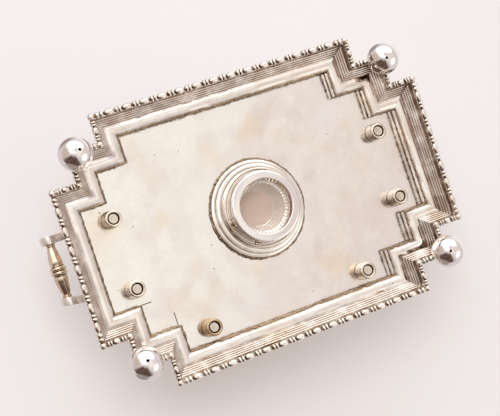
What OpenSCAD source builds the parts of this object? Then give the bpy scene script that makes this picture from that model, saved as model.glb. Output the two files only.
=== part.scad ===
// Inkstand: a plated tray on four ball feet with a lift-out glass inkwell.
// The frame: +X to the right along the tray, -Y to the front where the pens lie, +Z up.
// The origin is on the table, under the middle of the tray. All sizes are millimetres.

/* [Tray] */
// Length of the tray over its beaded border
tray_l = 194.4; // [155:0.2:280]
// Width of the tray over its beaded border
tray_w = 131.2; // [105:0.2:200]
// How far the first corner step stands in from the tray's ends
end_step = 13.1; // [8:0.1:20]
// How far the second corner step stands in from the first, along the tray
mid_step_l = 15.4; // [8:0.1:22]
// How far the first corner step stands in from the tray's long sides
side_step = 13.1; // [8:0.1:20]
// How far the second corner step stands in from the first, across the tray
mid_step_w = 14.8; // [8:0.1:22]
// Thickness of the tray's plate
plate_t = 1.2; // [0.8:0.1:3]

/* [Moulded rim] */
// Width of the rim, from its inner lip to the outside of the beads
rim_w = 12.6; // [10:0.1:18]
// Height of the plate's underside over the middle of the beads
rim_rise = 11.2; // [8:0.1:18]
// Depth of the inner lip below the plate's underside
lip_drop = 4.9; // [2:0.1:6.5]
// Width of the smooth band next to the lip
band_w = 6.4; // [4:0.1:7]
// Width of the shelf of the rim that the plate lies on
shelf_w = 3; // [1.5:0.1:4]
// Number of reeds between the smooth band and the beads
reed_count = 3; // [1:1:5]

/* [Bead and reel border] */
// Radius of a bead
bead_r = 1.6; // [1.2:0.05:2.4]
// Distance from one bead to the next, before it is fitted to each side
bead_pitch = 9; // [6:0.1:14]
// Share of the pitch that a bead takes
bead_share = 0.58; // [0.45:0.01:0.7]
// Depth that the beads are let into the rim
bead_sink = 0.4; // [0.2:0.05:0.8]

/* [Feet] */
// Radius of a ball foot
foot_r = 8; // [6:0.1:12]
// Wall of the hollow ball foot
foot_wall = 0.8; // [0.5:0.1:1.5]
// Depth of the worn flat under a ball foot
foot_flat = 0.1; // [0.05:0.05:0.3]
// Height of the soldered top of a ball foot over the ball's middle
foot_cap = 5.4; // [4:0.1:6]
// Radius of the vent hole in a ball foot
vent_r = 0.7; // [0.4:0.05:1]
// Angle away from straight down of the vent hole in the front left foot
front_left_vent = 18; // [14:1:30]
// Angle away from straight down of the vent hole in the front right foot
front_right_vent = 15; // [14:1:30]
// Angle away from straight down of the vent hole in the back left foot
back_left_vent = 15; // [14:1:30]
// Angle away from straight down of the vent hole in the back right foot
back_right_vent = 8; // [7:1:11]

/* [Fixings] */
// Radius of the studs that hold the handles and pen rests
stud_r = 2.35; // [1.5:0.05:3]
// Radius of a round nut
nut_r = 4.2; // [3.6:0.1:6]
// Height of a round nut
nut_h = 7.4; // [5:0.1:10]
// Clearance of a stud in its holes
stud_play = 0.15; // [0.05:0.05:0.4]

/* [Handles] */
// Distance of a handle's studs in from the rim's inner lip
handle_inset = 13.5; // [9:0.1:20]
// Share of the straight end, inside the rim, between a handle's two studs
handle_spread = 0.677; // [0.55:0.001:0.8]
// Reach of a handle's arms, from the studs to the bar
handle_reach = 28.5; // [26:0.1:45]
// Height of the bar's axis over the top of the plate
handle_rise = 6.5; // [5.5:0.1:20]
// Thickness of a handle arm
arm_t = 3.7; // [2.5:0.1:6]
// Radius of the round end of a handle arm
arm_eye_r = 4.2; // [3:0.1:6]
// Angle that one arm of each handle toes in by
arm_toe = 9; // [0:1:12]
// Largest radius of the bar's faceted halves
grip_r = 3.5; // [2.6:0.1:5]
// Smallest radius of the bar's faceted halves
grip_end_r = 1.9; // [1.5:0.1:2.5]
// Radius of the double ring in the middle of the bar
grip_ring_r = 4; // [3:0.1:5.5]

/* [Pen rests] */
// Distance of a pen rest's stud in from the rim's inner lip
rest_inset = 7.2; // [6:0.1:12]
// Share of the straight long side between the two pen rests
rest_spread = 0.745; // [0.4:0.005:0.8]
// Width of a pen rest across the tray
rest_w = 19; // [17:0.1:22]
// Height of a pen rest over the plate
rest_h = 15; // [12:0.1:22]
// Thickness of a pen rest
rest_t = 3; // [2:0.1:5]
// Radius of a pen notch
notch_r = 3.2; // [2.5:0.1:4]

/* [Well cup] */
// Radius of the hole under the glass
cup_hole_r = 13.15; // [9:0.05:14]
// Outer radius of the cup's tube
cup_r = 17.1; // [16.6:0.1:19]
// Wall of the cup's tube
cup_wall = 1.8; // [1:0.1:2]
// Depth of the cup below the plate's underside
cup_drop = 13; // [9:0.1:16]
// Outer radius of the soldered collar under the plate
collar_r = 23.9; // [22.5:0.1:28]
// Outer radius of the gallery ring on top of the plate
gallery_r = 31; // [29.5:0.1:36]
// Height of the gallery ring
gallery_h = 7; // [5:0.1:12]

/* [Inkwell] */
// Radius of the glass body
glass_r = 27.3; // [22:0.1:28.5]
// Height of the glass body over the plate, up to its shoulder
glass_h = 24; // [18:0.1:36]
// Height of the glass shoulder and neck
neck_h = 15; // [13:0.1:22]
// Radius of the neck
neck_r = 13.2; // [11:0.1:15]
// Radius of the mouth
mouth_r = 9.5; // [6:0.1:10.5]
// Thickness of the glass wall
glass_wall = 7; // [5:0.1:9]
// Clearance around the glass where it lifts out
glass_play = 0.3; // [0.2:0.05:0.6]

/* [Lid] */
// Height of the lid's dome
dome_h = 10; // [7:0.1:16]
// Wall of the lid's dome
dome_wall = 1.2; // [0.8:0.1:1.5]
// Radius of the lid's knob
knob_r = 3.4; // [2.5:0.1:5]
// Radius of the hinge knuckles
knuckle_r = 2; // [1.7:0.1:2.6]
// Radius of the hinge pin
pin_r = 0.9; // [0.6:0.05:1.1]
// Running clearance of the hinge pin
pin_play = 0.05; // [0.02:0.01:0.09]
// Length of the whole hinge
hinge_l = 13; // [10:0.1:18]

/* [Hidden] */
$fn = 64;

silver = [0.82, 0.79, 0.75];
tarnished = [0.66, 0.58, 0.47];
clear_glass = [0.85, 0.88, 0.86, 0.5];
overlap = 0.01;

// Heights, from the table up
foot_z = foot_r - foot_flat;
cap_z = foot_z + foot_cap;
bead_lift = 0.5;
bead_z = cap_z + bead_lift;
plate_z = bead_z + rim_rise;
lip_z = plate_z - lip_drop;
top_z = plate_z + plate_t;

// The stepped outline, from half sizes: x0 and y0 are the ends, x1 and y2 the innermost steps
x0 = tray_l / 2;
x2 = x0 - end_step;
x1 = x2 - mid_step_l;
y0 = tray_w / 2;
y1 = y0 - side_step;
y2 = y1 - mid_step_w;
axis_inset = bead_r;
// One quarter of the outline, set in by g
function quarter(g) = [
    [x0 - g, y2 - g], [x2 - g, y2 - g], [x2 - g, y1 - g], [x1 - g, y1 - g], [x1 - g, y0 - g]
];
function flip(points, sx, sy) = [for (p = points) [p[0] * sx, p[1] * sy]];
function backwards(points) = [for (i = [len(points) - 1 : -1 : 0]) points[i]];
function outline(g) = concat(
    quarter(g), backwards(flip(quarter(g), -1, 1)),
    flip(quarter(g), -1, -1), backwards(flip(quarter(g), 1, -1))
);

// The rim's section: x is the distance out from the lip, y the height
outer_d = rim_w - 2 * bead_r + bead_sink;
reed_w = (outer_d - band_w) / reed_count;
band_fall = 0.4;
reed_fall = 2.4;
reeds_z = lip_z - band_fall - reed_fall;
skirt_t = 0.35;
foot_of_rim_z = cap_z;
head_of_rim_z = reeds_z + 1.2;
reed_points = [
    for (i = [0 : reed_count - 1])
        each [
            [band_w + i * reed_w, lip_z - band_fall - i * reed_fall / reed_count],
            [band_w + (i + 0.2) * reed_w, lip_z - band_fall - (i + 0.75) * reed_fall / reed_count],
            [band_w + (i + 0.6) * reed_w, lip_z - band_fall - (i + 1) * reed_fall / reed_count]
        ]
];
ogee_steps = 8;
ogee_points = [
    for (i = [ogee_steps : -1 : 0])
        let (s = i / ogee_steps)
            [
                shelf_w + 0.8 + s * (outer_d - shelf_w - 1.1),
                head_of_rim_z + (top_z - head_of_rim_z) * (1 + cos(180 * s)) / 2
            ]
];
rim_section = concat(
    [[0, lip_z]],
    reed_points,
    [[outer_d - skirt_t, reeds_z], [outer_d - skirt_t, foot_of_rim_z], [outer_d, foot_of_rim_z]],
    [[outer_d, head_of_rim_z - 0.6]],
    ogee_points,
    [[shelf_w, top_z], [shelf_w, plate_z], [0, plate_z]]
);

// One straight mitred length of the rim; the four points are its lip and its outer edge
module rim_length(lip_a, lip_b, edge_a, edge_b, turn) {
    long = norm(edge_b - edge_a) + norm(lip_b - lip_a) + 2 * rim_w;
    middle = (lip_a + lip_b) / 2;
    intersection() {
        linear_extrude(height = top_z + 1) polygon([lip_a, lip_b, edge_b, edge_a]);
        translate([middle[0], middle[1], 0])
            rotate([90, 0, turn])
                translate([0, 0, -long / 2])
                    linear_extrude(height = long) polygon(rim_section);
    }
}

rim_edge = rim_w - outer_d;
module long_rim() {
    a = quarter(rim_w)[4];
    b = quarter(rim_edge)[4];
    rim_length([-a[0], a[1]], a, [-b[0], b[1]], b, 90);
}
module end_rim() {
    a = quarter(rim_w)[0];
    b = quarter(rim_edge)[0];
    rim_length([a[0], -a[1]], a, [b[0], -b[1]], b, 0);
}
module corner_rim() {
    lip = quarter(rim_w);
    edge = quarter(rim_edge);
    for (i = [0 : 3]) {
        rim_length(lip[i], lip[i + 1], edge[i], edge[i + 1], i % 2 == 0 ? 90 : 0);
    }
}

// One bead-and-reel length between two corner beads, turned about the line between them
corner_bead_r = bead_r * 1.06;
reel_r = bead_r * 1.02;
waist_r = bead_r * 0.66;
bead_arcs = 3;
end_gap = 0.02;
function bead_half(at, half, up) = [
    for (i = [0 : bead_arcs])
        let (t = (up ? i : bead_arcs - i) * 90 / bead_arcs)
            [waist_r * 0.8 + (bead_r - waist_r * 0.8) * sin(t), at + (up ? -1 : 1) * half * cos(t)]
];
function whole_bead(at, half) = concat(
    bead_half(at, half, true),
    [for (i = [1 : bead_arcs]) bead_half(at, half, false)[i]]
);
function reels(from, to) =
    let (w = (to - from) / 7)
        [
            [waist_r, from + w], [reel_r, from + 1.4 * w], [reel_r, from + 2.6 * w], [waist_r, from + 3 * w],
            [waist_r, from + 4 * w], [reel_r, from + 4.4 * w], [reel_r, from + 5.6 * w], [waist_r, from + 6 * w]
        ];
module border_length(a, b) {
    long = norm(b - a);
    count = max(1, round(long / bead_pitch + 0.2));
    pitch = long / count;
    half = pitch * bead_share / 2;
    end = corner_bead_r + end_gap;
    turned = [
        for (i = [0 : count - 1])
            each concat(
                reels(i == 0 ? end : i * pitch + half, i == count - 1 ? long - end : (i + 1) * pitch - half),
                i == count - 1 ? [] : whole_bead((i + 1) * pitch, half)
            )
    ];
    translate([a[0], a[1], bead_z])
        rotate([0, 0, atan2(b[1] - a[1], b[0] - a[0])])
            rotate([0, 90, 0])
                rotate_extrude($fn = 32)
                    polygon(concat([[0, end], [waist_r, end]], turned, [[waist_r, long - end], [0, long - end]]));
}
module corner_bead(p) {
    translate([p[0], p[1], bead_z]) sphere(r = corner_bead_r);
}

module base_plate() color(silver)
    difference() {
        translate([0, 0, plate_z])
            linear_extrude(height = plate_t) polygon(outline(rim_w - shelf_w));
        translate([0, 0, plate_z - 1]) cylinder(r = cup_r + glass_play, h = plate_t + 2);
        for (p = concat(handle_stud_places, rest_stud_places)) {
            translate([p[0], p[1], plate_z - 1]) cylinder(r = stud_r + stud_play, h = plate_t + 2);
        }
    }

module front_moulding() color(tarnished) mirror([0, 1, 0]) long_rim();
module back_moulding() color(tarnished) long_rim();
module left_moulding() color(tarnished) mirror([1, 0, 0]) end_rim();
module right_moulding() color(tarnished) end_rim();
module front_left_corner_moulding() color(tarnished) mirror([1, 0, 0]) mirror([0, 1, 0]) corner_rim();
module front_right_corner_moulding() color(tarnished) mirror([0, 1, 0]) corner_rim();
module back_left_corner_moulding() color(tarnished) mirror([1, 0, 0]) corner_rim();
module back_right_corner_moulding() color(tarnished) corner_rim();

module long_border() {
    p = quarter(axis_inset)[4];
    border_length([-p[0], p[1]], p);
}
module end_border() {
    p = quarter(axis_inset)[0];
    border_length([p[0], -p[1]], p);
}
module corner_border() {
    p = quarter(axis_inset);
    for (i = [0 : 3]) {
        border_length(p[i], p[i + 1]);
    }
    for (i = [0 : 4]) {
        corner_bead(p[i]);
    }
}
module front_border() color(silver) mirror([0, 1, 0]) long_border();
module back_border() color(silver) long_border();
module left_border() color(silver) mirror([1, 0, 0]) end_border();
module right_border() color(silver) end_border();
module front_left_corner_border() color(silver) mirror([1, 0, 0]) mirror([0, 1, 0]) corner_border();
module front_right_corner_border() color(silver) mirror([0, 1, 0]) corner_border();
module back_left_corner_border() color(silver) mirror([1, 0, 0]) corner_border();
module back_right_corner_border() color(silver) corner_border();

// A hollow ball foot under the middle step of a corner. Its vent hole leans by vent_angle towards vent_turn
foot_in_x = 1.5;
foot_in_y = 1.2;
foot_x = x2 - axis_inset - foot_in_x;
foot_y = y1 - axis_inset - foot_in_y;
module ball_foot(sx, sy, vent_angle, vent_turn) {
    translate([sx * foot_x, sy * foot_y, foot_z])
        difference() {
            intersection() {
                sphere(r = foot_r);
                translate([-foot_r - 1, -foot_r - 1, -foot_z])
                    cube([2 * foot_r + 2, 2 * foot_r + 2, foot_z + foot_cap]);
            }
            intersection() {
                sphere(r = foot_r - foot_wall);
                translate([-foot_r, -foot_r, -foot_r])
                    cube([2 * foot_r, 2 * foot_r, foot_r + foot_cap - foot_wall]);
            }
            rotate([0, 180 - vent_angle, vent_turn])
                cylinder(r = vent_r, h = foot_r + 1);
        }
}
module front_left_foot() color(silver) ball_foot(-1, -1, front_left_vent, 6);
module front_right_foot() color(silver) ball_foot(1, -1, front_right_vent, 66);
module back_left_foot() color(silver) ball_foot(-1, 1, back_left_vent, 341);
module back_right_foot() color(silver) ball_foot(1, 1, back_right_vent, 122);

// The soldered collar under the plate, and the cup that hangs in it
collar_in_r = cup_r + 1.2;
module well_collar() color(tarnished)
    rotate_extrude()
        polygon([
            [collar_in_r, plate_z], [collar_in_r, plate_z - 7.1],
            [collar_in_r + 0.6, plate_z - 7.1], [collar_in_r + 0.9, plate_z - 6.5],
            [collar_in_r + 1.1, plate_z - 4],
            [collar_r - 3.7, plate_z - 3.4], [collar_r - 2.4, plate_z - 2.9],
            [collar_r - 2.1, plate_z - 1.6], [collar_r - 0.5, plate_z - 1.1],
            [collar_r, plate_z - 0.6], [collar_r, plate_z]
        ]);

rim_ring_h = 3.5;
ledge_t = 2.1;
cup_z = plate_z - cup_drop;
ledge_z = cup_z + rim_ring_h + ledge_t;
seat_t = 0.8;
seat_r = cup_r + 3;
cup_in_r = cup_r - cup_wall;
module well_cup() color(silver)
    rotate_extrude()
        polygon([
            [cup_hole_r + 0.4, cup_z + rim_ring_h], [cup_r, cup_z + rim_ring_h],
            [cup_r, top_z], [seat_r, top_z], [seat_r, top_z + seat_t],
            [cup_in_r, top_z + seat_t], [cup_in_r, ledge_z], [cup_hole_r + 0.4, ledge_z]
        ]);
edge_r = 0.9;
module well_rim() color(silver)
    rotate_extrude()
        polygon([
            [cup_hole_r, cup_z + rim_ring_h], [cup_hole_r, cup_z + edge_r * 0.6],
            [cup_hole_r + edge_r * 0.6, cup_z], [cup_r - edge_r, cup_z],
            [cup_r - edge_r * 0.3, cup_z + edge_r * 0.3], [cup_r, cup_z + edge_r],
            [cup_r, cup_z + rim_ring_h]
        ]);
// Two blobs of solder that bridge the groove between cup and collar
lug_turns = [296, 351];
module collar_lugs() color(tarnished)
    for (turn = lug_turns) {
        rotate([0, 0, turn])
            translate([cup_r, -1.6, plate_z - 7.4])
                cube([collar_in_r - cup_r, 3.2, 2.2]);
    }

gallery_in_r = glass_r + glass_play;
module gallery_ring() color(silver)
    rotate_extrude()
        polygon([
            [gallery_in_r, top_z], [gallery_r, top_z], [gallery_r, top_z + 1],
            [gallery_r - 0.5, top_z + 1.5], [gallery_in_r + 1.1, top_z + 2.1],
            [gallery_in_r + 0.9, top_z + gallery_h - 2.2], [gallery_in_r + 1.7, top_z + gallery_h - 1.7],
            [gallery_in_r + 2, top_z + gallery_h - 1], [gallery_in_r + 1.7, top_z + gallery_h - 0.3],
            [gallery_in_r + 1, top_z + gallery_h], [gallery_in_r, top_z + gallery_h]
        ]);

// The handles: two flat arms, and a bar of two faceted halves about a double ring
handle_x = x0 - rim_w - handle_inset;
handle_half = (y2 - rim_w) * handle_spread;
bar_x = handle_x + handle_reach;
bar_z = top_z + handle_rise;
handle_stud_places = [
    [handle_x, handle_half], [handle_x, -handle_half],
    [-handle_x, -handle_half], [-handle_x, handle_half]
];
arm_foot_l = 11;
arm_foot_h = 2.6;
stud_in_arm = 1.8;
// The inner faces of the two arms at the bar
straight_face = handle_half - arm_t / 2;
toed_face = handle_half - handle_reach * tan(arm_toe) - arm_t / (2 * cos(arm_toe));
bar_middle = (straight_face - toed_face) / 2;
bar_half = (straight_face + toed_face) / 2;
// An arm lying along +X from its stud, with its eye at the bar
module arm_shape() {
    rotate([90, 0, 0])
        translate([0, 0, -arm_t / 2])
            linear_extrude(height = arm_t)
                difference() {
                    union() {
                        translate([-arm_foot_l / 2, 0]) square([arm_foot_l, arm_foot_h]);
                        polygon([
                            [arm_foot_l / 2 - 5, arm_foot_h - overlap], [arm_foot_l / 2, 0],
                            [arm_foot_l / 2 + 4, 0.9],
                            [handle_reach - 1, handle_rise - arm_eye_r + 0.15],
                            [handle_reach, handle_rise], [handle_reach - 2, handle_rise + arm_eye_r - 0.6],
                            [handle_reach / 2, arm_foot_h + 1.6]
                        ]);
                        translate([handle_reach, handle_rise]) circle(r = arm_eye_r);
                    }
                    translate([handle_reach, handle_rise]) circle(r = rod_r);
                }
}
module straight_arm() {
    difference() {
        translate([handle_x, handle_half, top_z]) arm_shape();
        arm_stud_hole(handle_half);
    }
}
module toed_arm() {
    difference() {
        translate([handle_x, -handle_half, top_z]) rotate([0, 0, arm_toe]) arm_shape();
        arm_stud_hole(-handle_half);
    }
}
module arm_stud_hole(y) {
    translate([handle_x, y, top_z - 1]) cylinder(r = stud_r, h = stud_in_arm + 1);
}
// The rod lies in the arms' eyes, and carries the grips and the ring
rod_r = 1.2;
ring_w = 2.1;
module bar_rod() {
    translate([bar_x, bar_middle, bar_z])
        rotate([90, 0, 0])
            translate([0, 0, -bar_half - arm_t / 2])
                cylinder(r = rod_r, h = 2 * bar_half + arm_t);
}
collar_w = 1.2;
grip_l = bar_half - ring_w - collar_w;
flare_l = grip_l * 0.27;
module grip_half() {
    difference() {
        union() {
            translate([0, 0, ring_w])
                rotate([0, 0, 22.5])
                    cylinder(r1 = grip_r * 0.93, r2 = grip_r, h = flare_l, $fn = 8);
            translate([0, 0, ring_w + flare_l])
                rotate([0, 0, 22.5])
                    cylinder(r1 = grip_r, r2 = grip_end_r, h = grip_l - flare_l, $fn = 8);
            translate([0, 0, bar_half - collar_w - overlap])
                cylinder(r = grip_end_r + 0.35, h = collar_w + overlap);
        }
        translate([0, 0, -1]) cylinder(r = rod_r, h = bar_half + 2);
    }
}
module bar_grips() {
    translate([bar_x, bar_middle, bar_z]) {
        rotate([90, 0, 0]) grip_half();
        rotate([-90, 0, 0]) grip_half();
    }
}
module bar_ring() {
    translate([bar_x, bar_middle, bar_z])
        rotate([90, 0, 0])
            rotate_extrude()
                polygon([
                    [rod_r, -ring_w], [grip_ring_r - 0.5, -ring_w], [grip_ring_r, -ring_w + 0.6],
                    [grip_ring_r, -0.6], [grip_ring_r - 0.6, 0], [grip_ring_r, 0.6],
                    [grip_ring_r, ring_w - 0.6], [grip_ring_r - 0.5, ring_w], [rod_r, ring_w]
                ]);
}
module right_handle_straight_arm() color(silver) straight_arm();
module right_handle_toed_arm() color(silver) toed_arm();
module left_handle_straight_arm() color(silver) rotate([0, 0, 180]) straight_arm();
module left_handle_toed_arm() color(silver) rotate([0, 0, 180]) toed_arm();
module right_handle_grips() color(silver) bar_grips();
module left_handle_grips() color(silver) rotate([0, 0, 180]) bar_grips();
module right_handle_ring() color(silver) bar_ring();
module left_handle_ring() color(silver) rotate([0, 0, 180]) bar_ring();
module right_handle_rod() color(tarnished) bar_rod();
module left_handle_rod() color(tarnished) rotate([0, 0, 180]) bar_rod();

// A pen rest stands across the tray: a foot, a waist and a head with two notches
rest_x = (x1 - rim_w) * rest_spread;
rest_y = -(y0 - rim_w - rest_inset);
rest_stud_places = [[rest_x, rest_y], [-rest_x, rest_y]];
rest_foot_h = 2.4;
stud_in_rest = 1.6;
horn_r = 1.5;
notch_x = rest_w / 2 - 2 * horn_r - notch_r + 0.4;
module pen_rest() {
    difference() {
        union() {
            translate([-stud_r - 2.6, -stud_r - 2.4, 0])
                cube([2 * stud_r + 5.2, 2 * stud_r + 4.8, rest_foot_h]);
            rotate([90, 0, 90])
                translate([0, 0, -rest_t / 2])
                    linear_extrude(height = rest_t)
                        difference() {
                            union() {
                                polygon([
                                    [-stud_r - 2.4, 0], [stud_r + 2.4, 0], [stud_r + 1.2, rest_h * 0.4],
                                    [rest_w / 2 - horn_r, rest_h - notch_r - horn_r],
                                    [rest_w / 2 - horn_r, rest_h - horn_r],
                                    [-rest_w / 2 + horn_r, rest_h - horn_r],
                                    [-rest_w / 2 + horn_r, rest_h - notch_r - horn_r],
                                    [-stud_r - 1.2, rest_h * 0.4]
                                ]);
                                for (s = [-1, 1]) {
                                    translate([s * (rest_w / 2 - horn_r), rest_h - horn_r]) circle(r = horn_r);
                                }
                            }
                            for (s = [-1, 1]) {
                                translate([s * notch_x, rest_h]) circle(r = notch_r);
                            }
                        }
        }
        translate([0, 0, -1]) cylinder(r = stud_r, h = stud_in_rest + 1);
    }
}
module left_pen_rest() color(silver) translate([-rest_x, rest_y, top_z]) pen_rest();
module right_pen_rest() color(silver) translate([rest_x, rest_y, top_z]) pen_rest();

// Studs and round nuts; a nut has four rings and a rounded face
stud_end = 0.5;
nut_z = plate_z - nut_h;
module stud(p, depth) {
    translate([p[0], p[1], nut_z + stud_end])
        cylinder(r = stud_r, h = top_z + depth - nut_z - stud_end);
}
module handle_studs() color(tarnished)
    for (p = handle_stud_places) stud(p, stud_in_arm);
module pen_rest_studs() color(tarnished)
    for (p = rest_stud_places) stud(p, stud_in_rest);
nut_rings = 4;
nut_groove = 0.35;
nut_face = 1.1;
nut_ring_points = [
    for (i = [0 : nut_rings - 1])
        let (w = (nut_h - nut_face) / nut_rings)
            each [
                [nut_r, nut_face + i * w], [nut_r, nut_face + (i + 0.7) * w],
                [nut_r - nut_groove, nut_face + (i + 0.85) * w]
            ]
];
module nut(p) {
    translate([p[0], p[1], nut_z])
        rotate_extrude()
            polygon(concat(
                [[stud_r + 0.05, nut_h], [stud_r + 0.05, 0.9], [stud_r + 0.6, 0.1], [nut_r - 1, 0]],
                [[nut_r - 0.3, 0.35]],
                nut_ring_points,
                [[nut_r - nut_groove, nut_h]]
            ));
}
module handle_nuts() color(silver)
    for (p = handle_stud_places) nut(p);
module pen_rest_nuts() color(silver)
    for (p = rest_stud_places) nut(p);

// The glass: a foot in the cup, a thick body and a neck, with the ink's hollow inside
glass_foot_r = cup_in_r - glass_play;
glass_z = ledge_z;
body_z = top_z + seat_t + 1.2;
shoulder_z = top_z + glass_h;
neck_z = shoulder_z + neck_h - 7;
mouth_z = shoulder_z + neck_h;
glass_edge = 0.9;
floor_z = body_z + 4;
punt_z = body_z - 1.9;
punt_r = cup_hole_r - 4.7;
module glass_well() color(clear_glass)
    rotate_extrude()
        polygon([
            [0, punt_z], [punt_r, punt_z], [punt_r + 0.8, punt_z - 1.7],
            [cup_hole_r - 2.2, glass_z + 0.8], [cup_hole_r - 1.8, glass_z],
            [glass_foot_r - 0.4, glass_z], [glass_foot_r, glass_z + 0.4],
            [glass_foot_r, body_z - 0.6], [glass_foot_r + 0.6, body_z],
            [glass_r - glass_edge, body_z], [glass_r, body_z + glass_edge],
            [glass_r, shoulder_z - 2], [glass_r - 0.8, shoulder_z - 0.6], [glass_r - 2.4, shoulder_z + 0.6],
            [neck_r + 3, neck_z - 2.4], [neck_r + 0.8, neck_z - 1.2], [neck_r, neck_z],
            [neck_r, mouth_z], [mouth_r, mouth_z],
            [mouth_r, neck_z - 2], [glass_r - glass_wall - 2, shoulder_z - 4],
            [glass_r - glass_wall, shoulder_z - 7], [glass_r - glass_wall, floor_z + 2],
            [glass_r - glass_wall - 2, floor_z], [0, floor_z]
        ]);

// The plated mount on the neck, with the fixed knuckles of the hinge at the back
mount_r = neck_r + 3.6;
mount_z = mouth_z + 1;
hinge_y = mount_r + knuckle_r + 0.2;
hinge_z = mount_z;
lug_l = hinge_l * 0.27;
hinge_gap = 0.2;
module knuckle(from, to, bore) {
    translate([from, hinge_y, hinge_z])
        rotate([0, 90, 0])
            difference() {
                cylinder(r = knuckle_r, h = to - from);
                translate([0, 0, -1]) cylinder(r = bore, h = to - from + 2);
            }
}
module neck_mount() color(silver) {
    rotate_extrude()
        polygon([
            [neck_r, neck_z + 0.6], [neck_r + 1.6, neck_z + 0.6], [neck_r + 2, neck_z + 1.4],
            [neck_r + 1.4, neck_z + 2.4], [neck_r + 1.6, mouth_z - 1.2], [mount_r, mouth_z - 0.4],
            [mount_r, mount_z - 0.15], [mouth_r + 0.6, mount_z - 0.15], [mouth_r + 0.6, mouth_z],
            [neck_r, mouth_z]
        ]);
    for (s = [0, 1]) {
        mirror([s, 0, 0]) {
            knuckle(hinge_l / 2 - lug_l, hinge_l / 2, pin_r);
            difference() {
                translate([hinge_l / 2 - lug_l, mount_r - 2.6, mouth_z - 0.7])
                    cube([lug_l, hinge_y - mount_r + 2.6, mount_z - 0.15 - mouth_z + 0.7]);
                translate([0, hinge_y, hinge_z]) rotate([0, 90, 0]) cylinder(r = knuckle_r - 0.3, h = hinge_l);
                translate([0, 0, mouth_z - 2]) cylinder(r = mount_r - 0.9, h = 4);
            }
        }
    }
}
module hinge_pin() color(tarnished)
    translate([-hinge_l / 2 - 0.3, hinge_y, hinge_z])
        rotate([0, 90, 0]) cylinder(r = pin_r, h = hinge_l + 0.6);

// The domed lid, closed at rest, which turns back about the hinge
lid_z = mount_z + 0.15;
dome_z = lid_z + 1.6;
dome_top_z = dome_z + dome_h;
dome_steps = 7;
function dome_arc(r, h, from, to) = [
    for (i = [0 : dome_steps])
        let (t = from + (to - from) * i / dome_steps)
            [r * cos(t), dome_z + h * sin(t)]
];
knob_neck_r = knob_r * 0.45;
module lid_dome() color(silver)
    rotate_extrude()
        polygon(concat(
            [[mount_r - 2.4, lid_z], [mount_r, lid_z], [mount_r, dome_z - 0.4], [mount_r - 0.8, dome_z]],
            dome_arc(mount_r - 1.6, dome_h, 0, 90),
            backwards(dome_arc(mount_r - 1.6 - dome_wall, dome_h - dome_wall, 0, 90)),
            [[mount_r - 1.6 - dome_wall, lid_z + 0.6]]
        ));
module lid_knuckle() color(silver) {
    middle = hinge_l / 2 - lug_l - hinge_gap;
    knuckle(-middle, middle, pin_r + pin_play);
    difference() {
        translate([-middle, mount_r - 3, lid_z])
            cube([2 * middle, hinge_y - mount_r + 3, 1.5]);
        translate([-hinge_l, hinge_y, hinge_z]) rotate([0, 90, 0]) cylinder(r = knuckle_r - 0.3, h = 2 * hinge_l);
        translate([0, 0, lid_z - 1]) cylinder(r = mount_r - 0.6, h = 4);
    }
}
lining_t = 1;
module lid_lining() color(tarnished)
    translate([0, 0, lid_z + 0.7]) cylinder(r = mount_r - 1.6 - dome_wall, h = lining_t);
module lid_knob() color(silver)
    rotate_extrude()
        polygon(concat(
            [[0, dome_top_z - 0.3], [knob_neck_r + 1.2, dome_top_z - 0.3], [knob_neck_r + 1, dome_top_z + 0.5]],
            [[knob_neck_r, dome_top_z + 0.9]],
            [
                for (t = [-60 : 15 : 90])
                    [knob_r * cos(t), dome_top_z + 0.6 + knob_r + knob_r * sin(t)]
            ]
        ));

base_plate();
front_moulding();
back_moulding();
left_moulding();
right_moulding();
front_left_corner_moulding();
front_right_corner_moulding();
back_left_corner_moulding();
back_right_corner_moulding();
front_border();
back_border();
left_border();
right_border();
front_left_corner_border();
front_right_corner_border();
back_left_corner_border();
back_right_corner_border();
front_left_foot();
front_right_foot();
back_left_foot();
back_right_foot();
well_collar();
well_cup();
well_rim();
collar_lugs();
gallery_ring();
right_handle_straight_arm();
right_handle_toed_arm();
left_handle_straight_arm();
left_handle_toed_arm();
right_handle_grips();
left_handle_grips();
right_handle_ring();
left_handle_ring();
right_handle_rod();
left_handle_rod();
left_pen_rest();
right_pen_rest();
handle_studs();
pen_rest_studs();
handle_nuts();
pen_rest_nuts();
glass_well();
neck_mount();
hinge_pin();
lid_dome();
lid_knuckle();
lid_lining();
lid_knob();
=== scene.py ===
import math
import random

import bmesh
import bpy
from mathutils import Matrix, Vector, noise


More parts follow.
